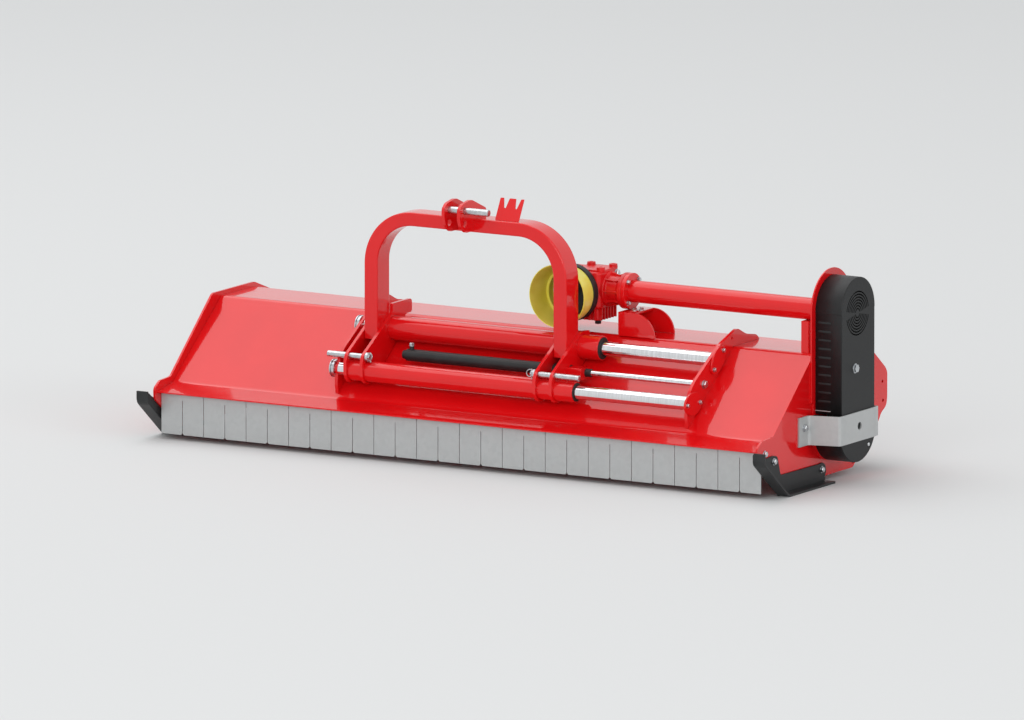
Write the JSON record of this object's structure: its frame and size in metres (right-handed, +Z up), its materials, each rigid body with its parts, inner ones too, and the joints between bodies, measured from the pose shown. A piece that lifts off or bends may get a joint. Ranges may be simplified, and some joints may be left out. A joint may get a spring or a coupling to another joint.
{
  "type": "flail mulcher",
  "caption": "Rear-mounted flail mulcher with a side-shifting three-point headstock, shaft-driven gearbox, side belt drive, hammer rotor, hinged front flaps and two skids.",
  "frame": {"origin": "middle of the overall box, on the ground under the skids", "axes": "+X along the working width towards the belt drive, +Y rearwards away from the tractor, +Z up"},
  "size_m": [2.6876, 0.967, 0.9535],
  "materials": {
    "red_paint": "glossy powder coat",
    "black_paint": "satin paint",
    "black_plastic": "moulded, lightly grained",
    "galvanised": "zinc coated, matt",
    "zinc_plate": "bright zinc plate",
    "chrome": "hard chrome, ground",
    "steel": "bare machined steel",
    "yellow_plastic": "moulded",
    "belt_rubber": "moulded belt rubber"
  },
  "bodies": {
    "casing": {"casing_shell": "red_paint", "left_side_plate": "red_paint", "right_side_plate": "red_paint", "curtain_rod": "zinc_plate", "left_bar_support": "red_paint", "right_bar_support": "red_paint", "upper_slide_bar": "chrome", "lower_slide_bar": "chrome", "cylinder_rod": "chrome", "gearbox_support": "red_paint", "gearbox_housing": "red_paint", "pto_guard_cone": "yellow_plastic", "pto_guard_collar": "black_plastic", "cross_shaft_tube": "red_paint", "drive_back_plate": "red_paint", "belt_cover": "black_plastic", "lower_belt_guard": "black_plastic", "guard_bracket": "galvanised", "drive_belt": "belt_rubber", "left_rotor_bearing": "steel", "right_rotor_bearing": "steel", "left_skid": "black_paint", "right_skid": "black_paint"},
    "headstock": {"headstock_arch": "red_paint", "left_inner_hitch_plate": "red_paint", "left_outer_hitch_plate": "red_paint", "right_inner_hitch_plate": "red_paint", "right_outer_hitch_plate": "red_paint", "upper_sleeve": "red_paint", "lower_sleeve": "red_paint", "top_link_pin": "zinc_plate", "left_lower_link_pin": "zinc_plate", "right_lower_link_pin": "zinc_plate", "hose_holder": "red_paint", "cylinder_barrel": "black_paint"},
    "input": {"input_shaft": "steel"},
    "cross": {"cross_shaft": "steel", "upper_pulley": "steel"},
    "rotor": {"rotor_drum": "black_paint", "lower_pulley": "steel"},
    "hammers_1": {"hammer_row_1": "steel"},
    "hammers_2": {"hammer_row_2": "steel"},
    "hammers_3": {"hammer_row_3": "steel"},
    "flap_01": {"flap_pair_01": "galvanised"},
    "flap_02": {"flap_pair_02": "galvanised"},
    "flap_03": {"flap_pair_03": "galvanised"},
    "flap_04": {"flap_pair_04": "galvanised"},
    "flap_05": {"flap_pair_05": "galvanised"},
    "flap_06": {"flap_pair_06": "galvanised"},
    "flap_07": {"flap_pair_07": "galvanised"},
    "flap_08": {"flap_pair_08": "galvanised"},
    "flap_09": {"flap_pair_09": "galvanised"},
    "flap_10": {"flap_pair_10": "galvanised"},
    "flap_11": {"flap_pair_11": "galvanised"},
    "flap_12": {"flap_pair_12": "galvanised"},
    "flap_13": {"flap_pair_13": "galvanised"},
    "flap_14": {"flap_pair_14": "galvanised"}
  },
  "joints": [
    {"name": "side_shift", "type": "slide", "parent": "casing", "child": "headstock", "axis": [1, 0, 0], "range_m": [-0.03, 0.44]},
    {"name": "rotor_spin", "type": "hinge", "parent": "casing", "child": "rotor", "pos_m": [-0.0355, 0.0725, 0.2075], "axis": [1, 0, 0], "continuous": true},
    {"name": "cross_spin", "type": "hinge", "parent": "casing", "child": "cross", "pos_m": [-0.0355, 0.0725, 0.615], "axis": [1, 0, 0], "continuous": true},
    {"name": "input_spin", "type": "hinge", "parent": "casing", "child": "input", "pos_m": [0.1995, -0.0275, 0.615], "axis": [0, 1, 0], "continuous": true},
    {"name": "hammers_1_swing", "type": "hinge", "parent": "rotor", "child": "hammers_1", "pos_m": [-0.0355, 0.0725, 0.1025], "axis": [1, 0, 0], "range_deg": [-110, 110]},
    {"name": "hammers_2_swing", "type": "hinge", "parent": "rotor", "child": "hammers_2", "pos_m": [-0.0355, 0.16343, 0.26], "axis": [1, 0, 0], "range_deg": [0, 230]},
    {"name": "hammers_3_swing", "type": "hinge", "parent": "rotor", "child": "hammers_3", "pos_m": [-0.0355, -0.01843, 0.26], "axis": [1, 0, 0], "range_deg": [-230, 0]},
    {"name": "flap_01_swing", "type": "hinge", "parent": "casing", "child": "flap_01", "pos_m": [-0.0355, -0.3975, 0.165], "axis": [1, 0, 0], "range_deg": [-60, 80]},
    {"name": "flap_02_swing", "type": "hinge", "parent": "casing", "child": "flap_02", "pos_m": [-0.0355, -0.3975, 0.165], "axis": [1, 0, 0], "range_deg": [-60, 80]},
    {"name": "flap_03_swing", "type": "hinge", "parent": "casing", "child": "flap_03", "pos_m": [-0.0355, -0.3975, 0.165], "axis": [1, 0, 0], "range_deg": [-60, 80]},
    {"name": "flap_04_swing", "type": "hinge", "parent": "casing", "child": "flap_04", "pos_m": [-0.0355, -0.3975, 0.165], "axis": [1, 0, 0], "range_deg": [-60, 80]},
    {"name": "flap_05_swing", "type": "hinge", "parent": "casing", "child": "flap_05", "pos_m": [-0.0355, -0.3975, 0.165], "axis": [1, 0, 0], "range_deg": [-60, 80]},
    {"name": "flap_06_swing", "type": "hinge", "parent": "casing", "child": "flap_06", "pos_m": [-0.0355, -0.3975, 0.165], "axis": [1, 0, 0], "range_deg": [-60, 80]},
    {"name": "flap_07_swing", "type": "hinge", "parent": "casing", "child": "flap_07", "pos_m": [-0.0355, -0.3975, 0.165], "axis": [1, 0, 0], "range_deg": [-60, 80]},
    {"name": "flap_08_swing", "type": "hinge", "parent": "casing", "child": "flap_08", "pos_m": [-0.0355, -0.3975, 0.165], "axis": [1, 0, 0], "range_deg": [-60, 80]},
    {"name": "flap_09_swing", "type": "hinge", "parent": "casing", "child": "flap_09", "pos_m": [-0.0355, -0.3975, 0.165], "axis": [1, 0, 0], "range_deg": [-60, 80]},
    {"name": "flap_10_swing", "type": "hinge", "parent": "casing", "child": "flap_10", "pos_m": [-0.0355, -0.3975, 0.165], "axis": [1, 0, 0], "range_deg": [-60, 80]},
    {"name": "flap_11_swing", "type": "hinge", "parent": "casing", "child": "flap_11", "pos_m": [-0.0355, -0.3975, 0.165], "axis": [1, 0, 0], "range_deg": [-60, 80]},
    {"name": "flap_12_swing", "type": "hinge", "parent": "casing", "child": "flap_12", "pos_m": [-0.0355, -0.3975, 0.165], "axis": [1, 0, 0], "range_deg": [-60, 80]},
    {"name": "flap_13_swing", "type": "hinge", "parent": "casing", "child": "flap_13", "pos_m": [-0.0355, -0.3975, 0.165], "axis": [1, 0, 0], "range_deg": [-60, 80]},
    {"name": "flap_14_swing", "type": "hinge", "parent": "casing", "child": "flap_14", "pos_m": [-0.0355, -0.3975, 0.165], "axis": [1, 0, 0], "range_deg": [-60, 80]}
  ],
  "couplings": [
    {"joint": "cross_spin", "follows": "rotor_spin", "ratio": 1},
    {"joint": "input_spin", "follows": "rotor_spin", "ratio": 0.33333}
  ]
}
